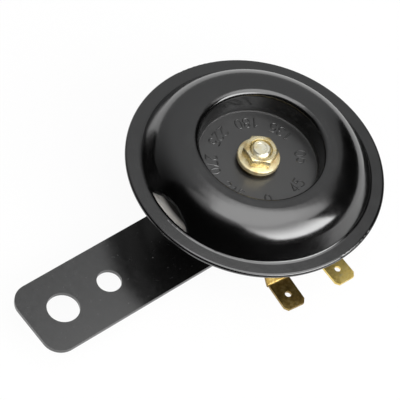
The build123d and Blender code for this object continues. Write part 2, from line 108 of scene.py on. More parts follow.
# seen from below, the table is clear, so that the back of the horn can be looked at
table_below = tree.nodes.new("ShaderNodeNewGeometry")
table_clear = tree.nodes.new("ShaderNodeBsdfTransparent")
table_sides = tree.nodes.new("ShaderNodeMixShader")
tree.links.new(table_below.outputs["Backfacing"], table_sides.inputs[0])
tree.links.new(table_mix.outputs[0], table_sides.inputs[1])
tree.links.new(table_clear.outputs[0], table_sides.inputs[2])
tree.links.new(table_sides.outputs[0], table_out.inputs["Surface"])
studio_mesh("table", [
    (-table_half, -table_half, table_top), (table_half, -table_half, table_top),
    (table_half, table_half, table_top), (-table_half, table_half, table_top),
], [(0, 1, 2, 3)], table_paint)

room_glow = 0.16
world = bpy.data.worlds.new("studio")
bpy.context.scene.world = world
world.use_nodes = True
tree = world.node_tree
tree.nodes.clear()
world_out = tree.nodes.new("ShaderNodeOutputWorld")
backdrop = tree.nodes.new("ShaderNodeMixShader")
room = tree.nodes.new("ShaderNodeBackground")
room.inputs["Color"].default_value = (1, 1, 1, 1)
room.inputs["Strength"].default_value = room_glow
white = tree.nodes.new("ShaderNodeBackground")
white.inputs["Color"].default_value = (1, 1, 1, 1)
white.inputs["Strength"].default_value = white_glow
tree.links.new(seen_directly(tree), backdrop.inputs[0])
tree.links.new(room.outputs[0], backdrop.inputs[1])
tree.links.new(white.outputs[0], backdrop.inputs[2])
tree.links.new(backdrop.outputs[0], world_out.inputs["Surface"])


def bent_panel(name, radius, stretches, material, step=6.0, upward=8):
    """Panel bent round the horn, in stretches of (azimuth from, to, highest elevation)."""
    points, faces = [], []
    for start, end, top in stretches:
        across = max(1, round((end - start) / step))
        first = len(points)
        for i in range(across + 1):
            turn = math.radians(start + (end - start) * i / across)
            for j in range(upward + 1):
                lift = math.radians(top * j / upward)
                flat = radius * math.cos(lift)
                points.append((horn_x + flat * math.cos(turn), flat * math.sin(turn),
                               table_top + radius * math.sin(lift)))
        for i in range(across):
            for j in range(upward):
                corner = first + i * (upward + 1) + j
                faces.append((corner, corner + 1, corner + upward + 2, corner + upward + 1))
    return studio_mesh(name, points, faces, material, seen_by_camera=False)


def glowing(name, colour, fades):
    """Panel material: its strength is the product of smooth fades along X, Y or Z, each
    (axis, from, strength there, to, strength there)."""
    material = bpy.data.materials.new(name)
    material.use_nodes = True
    tree = material.node_tree
    tree.nodes.clear()
    out = tree.nodes.new("ShaderNodeOutputMaterial")
    light = tree.nodes.new("ShaderNodeEmission")
    light.inputs["Color"].default_value = (*colour, 1)
    place = tree.nodes.new("ShaderNodeTexCoord")
    split = tree.nodes.new("ShaderNodeSeparateXYZ")
    tree.links.new(place.outputs["Object"], split.inputs[0])
    strength = None
    for axis, start, low, end, high in fades:
        fade = tree.nodes.new("ShaderNodeMapRange")
        fade.interpolation_type = "SMOOTHSTEP"
        fade.inputs["From Min"].default_value = start
        fade.inputs["To Min"].default_value = low
        fade.inputs["From Max"].default_value = end
        fade.inputs["To Max"].default_value = high
        tree.links.new(split.outputs[axis], fade.inputs["Value"])
        if strength is None:
            strength = fade.outputs["Result"]
        else:
            both = tree.nodes.new("ShaderNodeMath")
            both.operation = "MULTIPLY"
            tree.links.new(strength, both.inputs[0])
            tree.links.new(fade.outputs["Result"], both.inputs[1])
            strength = both.outputs[0]
    tree.links.new(strength, light.inputs["Strength"])
    tree.links.new(light.outputs[0], out.inputs["Surface"])
    return material


# black low down, paler towards its top edge, where the ceiling lights it
cloth_away, cloth_stretch = 2.2, (140, 375, 66)
cloth_fade = ("Z", 1.58, 0.0, 2.00, 0.75)
cloth = glowing("dark_cloth", (1, 1, 1), (cloth_fade,))
dark_cloth = bent_panel("dark_cloth", cloth_away, (cloth_stretch,), cloth)
dark_cloth.visible_diffuse = False

# the cloth also lies on the table, from a hand's breadth beyond the horn outwards
apron_near, apron_start, apron_end, apron_steps = 0.13, 100, 276, 44
apron_level = table_top + 1 * MM
apron_points, apron_faces = [], []
for i in range(apron_steps + 1):
    around = math.radians(apron_start + (apron_end - apron_start) * i / apron_steps)
    for radius in (apron_near, cloth_away):
        apron_points.append((horn_x + radius * math.cos(around), radius * math.sin(around),
                             apron_level))
    if i < apron_steps:
        apron_faces.append((2 * i, 2 * i + 1, 2 * i + 3, 2 * i + 2))
apron = studio_mesh("dark_apron", apron_points, apron_faces, cloth, seen_by_camera=False)
apron.visible_diffuse = False

# fill from behind and above the camera, for what is not glossy
fill_away, fill_stretch, fill_tint = 1.6, (182, 256, 68), (1, 0.99, 0.97)
fill_fade = ("Z", 0.85, 0.0, 1.0, 3.8)
fill = bent_panel("fill_cloth", fill_away, (fill_stretch,),
                  glowing("fill_cloth", fill_tint, (fill_fade,)))
fill.visible_glossy = False

# grey card on the far side, darker where it meets the dark cloth
card_stretches, card_tint = ((15, 39, 57), (39, 140, 73)), (0.98, 0.99, 1.0)
card_fades = (
    ("Z", 0.0, 0.34, 1.7, 0.46), ("X", -1.9, 0.06, 0.3, 1.0), ("Y", 0.3, 0.6, 0.9, 1.0))
grey_card = bent_panel("grey_card", cloth_away, card_stretches,
                       glowing("grey_card", card_tint, card_fades))
grey_card.visible_diffuse = False

# key light: a sheet of diffusing cloth hung to the right, lit more strongly low down, with
# the azimuth and elevation of each corner
lamps_aim_at = 20 * MM
key_distance, key_steps = 1.0, 8
key_corners = ((-104.0, 24.5), (-49.0, 16.5), (-57.0, 64.0), (-141.0, 59.0))
key_fade = ("Z", 0.50, 6.3, 0.92, 1.7)
key_cloth = glowing("key_cloth", (1, 1, 1), (key_fade,))
key_points, key_faces = [], []
for i in range(key_steps + 1):
    for j in range(key_steps + 1):
        a, b = i / key_steps, j / key_steps
        low = [key_corners[0][k] * (1 - a) + key_corners[1][k] * a for k in (0, 1)]
        high = [key_corners[3][k] * (1 - a) + key_corners[2][k] * a for k in (0, 1)]
        around = math.radians(low[0] * (1 - b) + high[0] * b)
        up = math.radians(low[1] * (1 - b) + high[1] * b)
        key_points.append((horn_x + key_distance * math.cos(up) * math.cos(around),
                           key_distance * math.cos(up) * math.sin(around),
                           lamps_aim_at + key_distance * math.sin(up)))
        if i < key_steps and j < key_steps:
            corner = i * (key_steps + 1) + j
            beside = corner + key_steps + 1
            key_faces.append((corner, corner + 1, beside + 1, beside))
studio_mesh("key_cloth", key_points, key_faces, key_cloth, seen_by_camera=False)

# overhead soft box
top_size, top_glow, top_distance = (1.30, 1.05), 1.45, 1.2
top_azimuth, top_elevation = -70.0, 78.0
top_lamp = bpy.data.lights.new("top_box", "AREA")
top_lamp.shape = "RECTANGLE"
top_lamp.size, top_lamp.size_y = top_size
top_lamp.energy = top_glow * math.pi * top_size[0] * top_size[1]
top_box = bpy.data.objects.new("top_box", top_lamp)
bpy.context.scene.collection.objects.link(top_box)
around, up = math.radians(top_azimuth), math.radians(top_elevation)
aim = Vector((math.cos(up) * math.cos(around), math.cos(up) * math.sin(around), math.sin(up)))
top_box.location = Vector((horn_x, 0, lamps_aim_at)) + top_distance * aim
top_box.rotation_euler = aim.to_track_quat("Z", "Y").to_euler()
top_box.visible_camera = False

# camera with a long lens, above the strap's end of the horn
camera = bpy.data.objects.new("camera", bpy.data.cameras.new("camera"))
bpy.context.scene.collection.objects.link(camera)
camera.data.sensor_width = 36.0
camera.data.lens = 166.063
camera.data.clip_start = 0.01
camera_right = Vector((0.766450, -0.616979, 0.178580))
camera_up = Vector((0.437113, 0.704750, 0.558802))
camera_back = Vector((-0.470623, -0.350234, 0.809846))
camera_place = Vector((-179.167, -163.677, 395.784)) * MM
camera.matrix_world = Matrix((
    (camera_right.x, camera_up.x, camera_back.x, camera_place.x),
    (camera_right.y, camera_up.y, camera_back.y, camera_place.y),
    (camera_right.z, camera_up.z, camera_back.z, camera_place.z),
    (0, 0, 0, 1),
))
bpy.context.scene.camera = camera
bpy.context.scene.view_settings.view_transform = "Standard"


# ---- mounting strap ------------------------------------------------------------------
# Flat steel strip, blanked and pierced in one stroke, then dipped in a thin black
# electrocoat. The coat is satin and has caught a few specks of dust.

def new_finish(name, colour, roughness, metallic=0.0):
    """Material with its shader, ready for what is particular to it."""
    material = bpy.data.materials.new(name)
    material.use_nodes = True
    tree = material.node_tree
    shader = tree.nodes["Principled BSDF"]
    shader.inputs["Base Color"].default_value = (*colour, 1)
    shader.inputs["Roughness"].default_value = roughness
    shader.inputs["Metallic"].default_value = metallic
    return material, tree, shader


def grain(tree, scale, detail=4.0, rough=0.5, stretch=(1, 1, 1)):
    """Noise in the piece's own coordinates, in grains per metre."""
    place = tree.nodes.new("ShaderNodeTexCoord")
    mapping = tree.nodes.new("ShaderNodeMapping")
    mapping.inputs["Scale"].default_value = stretch
    noise = tree.nodes.new("ShaderNodeTexNoise")
    noise.inputs["Scale"].default_value = scale
    noise.inputs["Detail"].default_value = detail
    noise.inputs["Roughness"].default_value = rough
    tree.links.new(place.outputs["Object"], mapping.inputs["Vector"])
    tree.links.new(mapping.outputs["Vector"], noise.inputs["Vector"])
    return noise.outputs["Fac"]


def ramp(tree, source, low, high, stops):
    """Turns a grain between two levels into colours or greys."""
    spread = tree.nodes.new("ShaderNodeMapRange")
    spread.inputs["From Min"].default_value = low
    spread.inputs["From Max"].default_value = high
    tree.links.new(source, spread.inputs["Value"])
    band = tree.nodes.new("ShaderNodeValToRGB")
    elements = band.color_ramp.elements
    while len(elements) < len(stops):
        elements.new(0.5)
    for element, (place, colour) in zip(elements, stops):
        element.position = place
        element.color = (*colour, 1) if isinstance(colour, tuple) else (colour,) * 3 + (1,)
    tree.links.new(spread.outputs["Result"], band.inputs["Fac"])
    return band.outputs["Color"]


def vary(tree, shader, socket, source, low, high):
    """Runs a socket of the shader from one value to another, as a grain goes."""
    tree.links.new(ramp(tree, source, grain_low, grain_high, ((0.0, low), (1.0, high))),
                   shader.inputs[socket])


def relief(tree, shader, source, height):
    """Bump of a given height in metres on the shader."""
    bump = tree.nodes.new("ShaderNodeBump")
    bump.inputs["Distance"].default_value = height
    tree.links.new(source, bump.inputs["Height"])
    tree.links.new(bump.outputs["Normal"], shader.inputs["Normal"])


def dress(node, material):
    """Gives a carried-over CAD node its finish."""
    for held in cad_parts[node].material_slots:
        held.material = material


def soften(piece, width, sharp=40.0):
    """Rounds the edges of an object that are sharper than the angle given."""
    edge = piece.modifiers.new("rounded_edges", "BEVEL")
    edge.width = width
    edge.segments = 2
    edge.limit_method = "ANGLE"
    edge.angle_limit = math.radians(sharp)
    edge.harden_normals = True


grain_low, grain_high = 0.3, 0.7    # nearly all of a grain lies between these levels
coat_black, coat_ior = 0.003, 2.0
dust_from, dust_full, dust_grey, dust_pale = 0.79, 0.82, 0.14, 0.18
strap_coat, tree, shader = new_finish("strap_electrocoat", (coat_black,) * 3, 0.24)
shader.inputs["IOR"].default_value = coat_ior
specks = ramp(tree, grain(tree, 1500.0, 1.0, 0.4), 0.0, 1.0,
              ((0.0, coat_black), (dust_from, coat_black), (dust_full, dust_grey),
               (1.0, dust_pale)))
tree.links.new(specks, shader.inputs["Base Color"])
vary(tree, shader, "Roughness", grain(tree, 700.0, 6.0, 0.6), 0.20, 0.28)
relief(tree, shader, grain(tree, 2600.0, 3.0), 0.004 * MM)
dress("bracket", strap_coat)
soften(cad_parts["bracket"], 0.15 * MM)

# ---- rear nut and lock washer --------------------------------------------------------
# Steel hexagon nut and split spring washer that clamp the strap on the stud of the pole.
# Both are zinc plated with a yellow passivation, which clouds from straw to pink and green.

def yellow_zinc(name, straw, deep, pale, roughness, metal=1.0):
    """Yellow passivated zinc: clouded colour, a fine tooth and a dull bloom in places."""
    material, tree, shader = new_finish(name, straw, roughness, metal)
    clouds = ramp(tree, grain(tree, 330.0, 5.0, 0.6), grain_low, grain_high,
                  ((0.0, deep), (0.35, straw), (0.7, pale), (1.0, straw)))
    tree.links.new(clouds, shader.inputs["Base Color"])
    vary(tree, shader, "Roughness", grain(tree, 900.0, 6.0, 0.65),
         roughness - 0.06, roughness + 0.12)
    relief(tree, shader, grain(tree, 2600.0, 3.0), 0.004 * MM)
    return material


rear_plating = yellow_zinc("rear_yellow_zinc", (0.78, 0.66, 0.36), (0.56, 0.40, 0.16),
                           (0.86, 0.80, 0.58), 0.30)
dress("bracket_nut", rear_plating)
soften(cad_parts["bracket_nut"], 0.12 * MM)
dress("bracket_lock_washer", rear_plating)
soften(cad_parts["bracket_lock_washer"], 0.12 * MM)

# ---- pole and rear stud --------------------------------------------------------------
# One bar of soft iron turned to the thick pole inside the coil and the thin stud behind
# it. The stud carries a rolled thread with a chamfered start for the rear nut.

def ring(bm, radius, level, steps, turn=0.0):
    """Ring of points round the horn's axis."""
    made = []
    for i in range(steps):
        angle = turn + 2 * math.pi * i / steps
        made.append(bm.verts.new((
            horn_x + radius * math.cos(angle), radius * math.sin(angle), level)))
    return made


def join_rings(bm, lower, upper):
    steps = len(lower)
    for i in range(steps):
        j = (i + 1) % steps
        bm.faces.new((lower[i], lower[j], upper[j], upper[i]))


def threaded(bm, radius, pitch, low, high, chamfer_low, chamfer_high, steps=48):
    """Thread between two levels: a ring every tenth of a turn, pushed in at the roots."""
    depth, flank_slope, flank_start = 0.61 * pitch, 2.4, 0.15
    rows = round((high - low) / pitch * 10)
    rings = []
    for row in range(rows + 1):
        level = low + (high - low) * row / rows
        limit = radius - max(0.0, chamfer_low - (level - low), chamfer_high - (high - level))
        points = []
        for i in range(steps):
            angle = 2 * math.pi * i / steps
            turns = (level / pitch - i / steps) % 1.0
            flank = min(1.0, max(0.0, flank_slope * abs(turns - 0.5) - flank_start))
            across = min(limit, radius - depth * (1.0 - flank))
            points.append(bm.verts.new((
                horn_x + across * math.cos(angle), across * math.sin(angle), level)))
        rings.append(points)
    for lower, upper in zip(rings, rings[1:]):
        join_rings(bm, lower, upper)
    return rings[0], rings[-1]


def turned_piece(name, bm, material, sharp=35.0):
    """Object from a bmesh, smooth but for edges sharper than the angle given."""
    bmesh.ops.recalc_face_normals(bm, faces=bm.faces)
    for face in bm.faces:
        face.smooth = True
    for edge in bm.edges:
        if len(edge.link_faces) == 2 and edge.calc_face_angle() > math.radians(sharp):
            edge.smooth = False
    mesh = bpy.data.meshes.new(name)
    bm.to_mesh(mesh)
    bm.free()
    mesh.materials.append(material)
    piece = bpy.data.objects.new(name, mesh)
    bpy.context.scene.collection.objects.link(piece)
    return piece


def turned_steel(name, colour, roughness):
    """Turned steel, with the fine rings that the tool leaves round the axis."""
    material, tree, shader = new_finish(name, colour, roughness, 1.0)
    marks = grain(tree, 240.0, 5.0, 0.7, stretch=(1, 1, 26))
    vary(tree, shader, "Base Color", marks, tuple(0.72 * part for part in colour), colour)
    relief(tree, shader, marks, 0.006 * MM)
    return material


stud_low, pole_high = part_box("pole_core")[0][2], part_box("pole_core")[1][2]
pole_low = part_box("coil_bobbin")[0][2]
pole_radius, pole_chamfer, pole_steps = 6.0 * MM, 0.3 * MM, 48
rear_stud_radius, rear_pitch, rear_chamfer = 3.0 * MM, 1.0 * MM, 0.7 * MM
pole_steel = turned_steel("pole_turned_steel", (0.56, 0.55, 0.52), 0.34)
bm = bmesh.new()
start, shoulder = threaded(bm, rear_stud_radius, rear_pitch, stud_low, pole_low,
                           rear_chamfer, 0.0, pole_steps)
bm.faces.new(start)
pole_rings = [shoulder]
for radius, level in ((pole_radius, pole_low), (pole_radius, pole_high - pole_chamfer),
                      (pole_radius - pole_chamfer, pole_high)):
    pole_rings.append(ring(bm, radius, level, pole_steps))
for lower, upper in zip(pole_rings, pole_rings[1:]):
    join_rings(bm, lower, upper)
bm.faces.new(pole_rings[-1])
pole = turned_piece("pole_with_rear_thread", bm, pole_steel)
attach(pole, "housing")
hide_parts("pole_core")

# ---- coil ----------------------------------------------------------------------------
# Enamelled copper wire wound in close layers on a moulded nylon bobbin. Its two leads
# come up past the front flange, each to its own rivet.

nylon, tree, shader = new_finish("bobbin_nylon", (0.72, 0.68, 0.56), 0.48)
shader.inputs["Subsurface Weight"].default_value = 0.15
shader.inputs["Subsurface Radius"].default_value = (0.6 * MM, 0.5 * MM, 0.3 * MM)
vary(tree, shader, "Base Color", grain(tree, 180.0, 4.0),
     (0.66, 0.61, 0.48), (0.76, 0.72, 0.60))
relief(tree, shader, grain(tree, 1800.0, 2.0), 0.006 * MM)
dress("coil_bobbin", nylon)

wire_pitch = 0.45 * MM
wave_repeat = math.pi / 10    # metres from crest to crest of a wave at scale 1
wire, tree, shader = new_finish("enamelled_wire", (0.50, 0.17, 0.06), 0.26, 1.0)
shader.inputs["Coat Weight"].default_value = 0.6
shader.inputs["Coat Roughness"].default_value = 0.10
place = tree.nodes.new("ShaderNodeTexCoord")
turns = tree.nodes.new("ShaderNodeTexWave")
turns.bands_direction = "Z"
turns.wave_profile = "SIN"
turns.inputs["Scale"].default_value = wave_repeat / wire_pitch
turns.inputs["Distortion"].default_value = 0.4
turns.inputs["Detail"].default_value = 1.0
tree.links.new(place.outputs["Object"], turns.inputs["Vector"])
# painted shade and highlight: the colour is dark in the grooves between turns and light on
# their crests
tree.links.new(ramp(tree, turns.outputs["Fac"], 0.0, 1.0,
                    ((0.0, (0.14, 0.04, 0.015)), (1.0, (0.62, 0.24, 0.09)))),
               shader.inputs["Base Color"])
relief(tree, shader, turns.outputs["Fac"], 0.12 * MM)
dress("coil_winding", wire)

lead_wire, tree, shader = new_finish("lead_enamel", (0.52, 0.19, 0.07), 0.24, 1.0)
shader.inputs["Coat Weight"].default_value = 0.6
vary(tree, shader, "Base Color", grain(tree, 900.0, 4.0),
     (0.40, 0.13, 0.05), (0.58, 0.22, 0.08))
dress("coil_lead_start", lead_wire)
dress("coil_lead_end", lead_wire)

# ---- terminal board and insulators ---------------------------------------------------
# Brown phenolic paper laminate, sheared from sheet, that keeps the blades, the breaker and
# the fixed contact off the steel. Its layers show as fine bands on the cut edges.

board_brown = (0.20, 0.085, 0.03)
board_dark, board_pale = (0.13, 0.05, 0.018), (0.27, 0.125, 0.05)
laminate, tree, shader = new_finish("phenolic_laminate", board_brown, 0.42)
layers = ramp(tree, grain(tree, 260.0, 6.0, 0.6, stretch=(1, 1, 5)), grain_low, grain_high,
              ((0.0, board_dark), (0.5, board_brown), (1.0, board_pale)))
tree.links.new(layers, shader.inputs["Base Color"])
vary(tree, shader, "Roughness", grain(tree, 1200.0, 4.0), 0.36, 0.55)
relief(tree, shader, grain(tree, 1700.0, 5.0, stretch=(1, 1, 6)), 0.02 * MM)
for node in ("terminal_board", "terminal_insulator", "support_insulator", "breaker_pad",
             "breaker_insulator_lower", "breaker_insulator_upper"):
    dress(node, laminate)
soften(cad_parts["terminal_board"], 0.12 * MM)

# ---- terminal blades -----------------------------------------------------------------
# Two blades of 6.3 mm blanked from brass strip, with a pierced hole for the latch of the
# socket. Both are mottled, and blade A has gone brown while blade B is still yellow.

def blade_brass(name, dull, middle, clean, roughness):
    """Brass that has stained in patches, from a dull colour to a clean one."""
    material, tree, shader = new_finish(name, middle, roughness, 1.0)
    stains = ramp(tree, grain(tree, 620.0, 7.0, 0.68), grain_low, grain_high,
                  ((0.0, dull), (0.5, middle), (1.0, clean)))
    tree.links.new(stains, shader.inputs["Base Color"])
    vary(tree, shader, "Roughness", grain(tree, 1500.0, 6.0, 0.6),
         roughness - 0.08, roughness + 0.14)
    relief(tree, shader, grain(tree, 2200.0, 5.0, 0.6), 0.012 * MM)
    return material


dress("terminal_a", blade_brass("blade_a_brass", (0.14, 0.092, 0.028), (0.33, 0.22, 0.062),
                                (0.52, 0.40, 0.16), 0.36))
soften(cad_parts["terminal_a"], 0.10 * MM)
dress("terminal_b", blade_brass("blade_b_brass", (0.58, 0.42, 0.12), (0.88, 0.68, 0.21),
                                (0.80, 0.67, 0.34), 0.38))
soften(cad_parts["terminal_b"], 0.10 * MM)

# ---- rivets --------------------------------------------------------------------------
# Brass rivets through the board and the insulators. They carry the current into the
# horn, and their heads are spun over. The breaker's rivet has a clear zinc plated washer.

rivet_brass, tree, shader = new_finish("rivet_brass", (0.66, 0.50, 0.22), 0.28, 1.0)
vary(tree, shader, "Base Color", grain(tree, 800.0, 5.0, 0.6),
     (0.48, 0.34, 0.13), (0.74, 0.58, 0.28))
relief(tree, shader, grain(tree, 2400.0, 3.0), 0.006 * MM)
for node in ("terminal_rivet_a", "terminal_rivet_b", "breaker_rivet"):
    dress(node, rivet_brass)

washer_zinc, tree, shader = new_finish("washer_clear_zinc", (0.66, 0.68, 0.70), 0.34, 1.0)
vary(tree, shader, "Base Color", grain(tree, 600.0, 5.0, 0.6),
     (0.52, 0.54, 0.57), (0.74, 0.76, 0.78))
relief(tree, shader, grain(tree, 2400.0, 3.0), 0.004 * MM)
dress("breaker_outer_washer", washer_zinc)
soften(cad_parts["breaker_outer_washer"], 0.08 * MM)

# ---- contact breaker -----------------------------------------------------------------
# Leaf of hardened spring steel, riveted at one end. The armature presses on its pad and
# lifts the tungsten contact at its tip off the contact above.

spring, tree, shader = new_finish("spring_steel", (0.34, 0.36, 0.40), 0.26, 1.0)
rolling = (1, 14, 1)
vary(tree, shader, "Base Color", grain(tree, 160.0, 5.0, 0.7, stretch=rolling),
     (0.25, 0.27, 0.31), (0.42, 0.44, 0.48))
relief(tree, shader, grain(tree, 600.0, 4.0, stretch=rolling), 0.005 * MM)
dress("breaker_arm", spring)

tungsten, tree, shader = new_finish("contact_tungsten", (0.42, 0.41, 0.40), 0.40, 1.0)
pits_below = 0.35
pits = ramp(tree, grain(tree, 1500.0, 6.0, 0.65), pits_below, grain_high,
            ((0.0, (0.20, 0.18, 0.17)), (1.0, (0.50, 0.49, 0.47))))
tree.links.new(pits, shader.inputs["Base Color"])
relief(tree, shader, grain(tree, 3200.0, 4.0), 0.010 * MM)
dress("moving_contact", tungsten)
dress("fixed_contact", tungsten)

# ---- contact support -----------------------------------------------------------------
# Brass pressing on the floor of the pan, bent up and over to hold the fixed contact. The
# adjusting screw pushes its far end up or down.

support_brass, tree, shader = new_finish("support_brass", (0.62, 0.47, 0.20), 0.34, 1.0)
vary(tree, shader, "Base Color", grain(tree, 420.0, 5.0, 0.6),
     (0.46, 0.33, 0.13), (0.70, 0.55, 0.26))
relief(tree, shader, grain(tree, 900.0, 4.0, stretch=(1, 9, 1)), 0.006 * MM)
dress("contact_support", support_brass)

# ---- adjusting screw -----------------------------------------------------------------
# Slotted cheese-head screw in the back of the pan, yellow zinc plated. It is turned once
# at the factory to set the tone.

dress("adjusting_screw", yellow_zinc("screw_yellow_zinc", (0.74, 0.61, 0.32),
                                     (0.50, 0.36, 0.14), (0.84, 0.77, 0.54), 0.30))
soften(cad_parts["adjusting_screw"], 0.06 * MM)

# ---- housing -------------------------------------------------------------------------
# Coil pot, breaker pan and rolled rim drawn from one steel sheet and stove enamelled in
# black. The enamel has the faint ripple that paint leaves when it flows.

enamel, tree, shader = new_finish("housing_enamel", (0.002, 0.002, 0.002), 0.20)
shader.inputs["IOR"].default_value = coat_ior
vary(tree, shader, "Roughness", grain(tree, 260.0, 5.0, 0.55), 0.17, 0.25)
relief(tree, shader, grain(tree, 480.0, 3.0), 0.008 * MM)
dress("housing", enamel)

# ---- rim gasket ----------------------------------------------------------------------
# Ring of black impregnated fibre between the rim of the housing and the diaphragm. It
# seals the horn, and only its cut edges could ever be seen.

fibre, tree, shader = new_finish("gasket_fibre", (0.03, 0.028, 0.026), 0.85)
vary(tree, shader, "Base Color", grain(tree, 900.0, 8.0, 0.7),
     (0.016, 0.015, 0.014), (0.055, 0.05, 0.046))
relief(tree, shader, grain(tree, 1600.0, 8.0, 0.7), 0.04 * MM)
dress("rim_gasket", fibre)

# ---- diaphragm and clamp ring --------------------------------------------------------
# Thin sheet steel diaphragm with a pressed bead, and the flat steel ring over its edge.
# Both are passivated to a satin cream. The sheet's middle is painted dark, up to its margin,
# as painted shade under the tone disc. They show through the vent of the tone disc.

def by_radius(tree, inner, at_inner, outer, at_outer):
    """Level that changes between two distances from the horn's axis."""
    place = tree.nodes.new("ShaderNodeTexCoord")
    from_axis = tree.nodes.new("ShaderNodeVectorMath")
    from_axis.operation = "MULTIPLY_ADD"
    from_axis.inputs[1].default_value = (1, 1, 0)
    from_axis.inputs[2].default_value = (-horn_x, 0, 0)
    distance = tree.nodes.new("ShaderNodeVectorMath")
    distance.operation = "LENGTH"
    level = tree.nodes.new("ShaderNodeMapRange")
    level.inputs["From Min"].default_value = inner
    level.inputs["To Min"].default_value = at_inner
    level.inputs["From Max"].default_value = outer
    level.inputs["To Max"].default_value = at_outer
    tree.links.new(place.outputs["Object"], from_axis.inputs[0])
    tree.links.new(from_axis.outputs["Vector"], distance.inputs[0])
    tree.links.new(distance.outputs["Value"], level.inputs["Value"])
    return level.outputs["Result"]


# painted shade: nearly black inwards of the first radius, plain cream from the second
shade_edge, margin_start = 25.3 * MM, 26.4 * MM


def satin_sheet(name, colour, roughness):
    """Satin cream steel with painted shade in the middle, up to the margin under the ring."""
    material, tree, shader = new_finish(name, colour, roughness, 0.10)
    clouds = ramp(tree, grain(tree, 300.0, 6.0, 0.6), grain_low, grain_high,
                  ((0.0, tuple(0.9 * part for part in colour)), (1.0, colour)))
    # the cream falls to nearly black towards the middle: painted shade under the tone disc
    painted_shade = tree.nodes.new("ShaderNodeVectorMath")
    painted_shade.operation = "SCALE"
    tree.links.new(clouds, painted_shade.inputs[0])
    tree.links.new(by_radius(tree, shade_edge, 0.03, margin_start, 1.0),
                   painted_shade.inputs["Scale"])
    tree.links.new(painted_shade.outputs["Vector"], shader.inputs["Base Color"])
    vary(tree, shader, "Roughness", grain(tree, 1400.0, 5.0),
         roughness - 0.05, roughness + 0.08)
    relief(tree, shader, grain(tree, 2200.0, 4.0), 0.010 * MM)
    return material


diaphragm_satin = satin_sheet("diaphragm_satin", (0.96, 0.93, 0.89), 0.50)
sheet_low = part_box("diaphragm")[0][2]
sheet_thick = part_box("clamp_ring")[0][2] - sheet_low
bead_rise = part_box("diaphragm")[1][2] - sheet_low - sheet_thick
bead_middle, bead_half = 19.0 * MM, 2.5 * MM
sheet_hole, sheet_edge = 2.65 * MM, 29.39 * MM
follows_armature, stays_clamped = 8.2 * MM, 26.8 * MM
sheet_radii = [sheet_hole, 5.0 * MM, follows_armature, 10.0 * MM, 12.0 * MM, 14.0 * MM]
sheet_radii += [bead_middle + bead_half * (i / 5 - 1) for i in range(11)]
sheet_radii += [23.5 * MM, shade_edge, stays_clamped, sheet_edge]

# in the horn the sheet flexes: its middle goes with the armature and its margin stays under
# the ring. The sheet is laid out in sectors that meet without a gap
sectors, sector_steps = 24, 4
for sector in range(sectors):
    bm = bmesh.new()
    rows = []
    for i in range(sector_steps + 1):
        angle = 2 * math.pi * (sector + i / sector_steps) / sectors
        row = []
        for side in (0.0, sheet_thick):
            for radius in sheet_radii:
                off = min(1.0, abs(radius - bead_middle) / bead_half)
                rise = bead_rise * (0.5 + 0.5 * math.cos(math.pi * off))
                row.append(bm.verts.new((horn_x + radius * math.cos(angle),
                                         radius * math.sin(angle), sheet_low + side + rise)))
        rows.append(row[:len(sheet_radii)] + row[:len(sheet_radii) - 1:-1])
    for row, following in zip(rows, rows[1:]):
        join_rings(bm, row, following)
    leaf = turned_piece(f"diaphragm_sector_{sector + 1:02d}", bm, diaphragm_satin)
    angle = 2 * math.pi * (sector + 0.5) / sectors
    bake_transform(leaf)
    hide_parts("diaphragm")
dress("clamp_ring", satin_sheet("clamp_ring_satin", (0.95, 0.92, 0.88), 0.50))

# ---- armature and hub ----------------------------------------------------------------
# Soft iron armature over the pole, with the washers and the collar that clamp the middle
# of the diaphragm and carry the tone disc. All are turned, and clear zinc plated.

armature_steel = turned_steel("armature_steel", (0.62, 0.62, 0.60), 0.32)
dress("armature", armature_steel)
dress("rear_hub_washer", armature_steel)
dress("front_hub_washer", armature_steel)
dress("spacer_collar", armature_steel)

# ---- threaded stud -------------------------------------------------------------------
# Yellow zinc plated M5 stud screwed into the armature. It runs through the hub and the
# tone disc, and its chamfered end stands just proud of the front nut.

stud_plating = yellow_zinc("stud_yellow_zinc", (0.86, 0.79, 0.55), (0.72, 0.58, 0.32),
                           (0.92, 0.89, 0.74), 0.30, 0.85)
front_stud_radius, front_pitch, front_chamfer = 2.5 * MM, 0.8 * MM, 0.45 * MM
hollow_radius, hollow_slope, hollow_depth = 1.4 * MM, 0.12 * MM, 0.14 * MM
stud_steps = 48
bm = bmesh.new()
stud_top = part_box("armature_stud")[1][2]
low, high = threaded(bm, front_stud_radius, front_pitch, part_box("armature_stud")[0][2],
                     stud_top, front_chamfer, front_chamfer, stud_steps)
bm.faces.new(low)
hollow_rim = ring(bm, hollow_radius + hollow_slope, stud_top, stud_steps)
hollow_floor = ring(bm, hollow_radius, stud_top - hollow_depth, stud_steps)
join_rings(bm, high, hollow_rim)
join_rings(bm, hollow_rim, hollow_floor)
bm.faces.new(hollow_floor)
stud = turned_piece("front_threaded_stud", bm, stud_plating)
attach(stud, "tone_disc_group")
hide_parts("armature_stud")

# ---- tone disc -----------------------------------------------------------------------
# Steel disc drawn to a raised ring round a flat recess, with its edge hemmed flat, and
# stove enamelled in gloss black with a faint orange peel.

gloss, tree, shader = new_finish("disc_enamel", (0.0015, 0.0015, 0.0015), 0.18)
shader.inputs["IOR"].default_value = coat_ior
sheen = ramp(tree, grain(tree, 220.0, 5.0, 0.55), grain_low, grain_high,
             ((0.0, 0.14), (1.0, 0.20)))

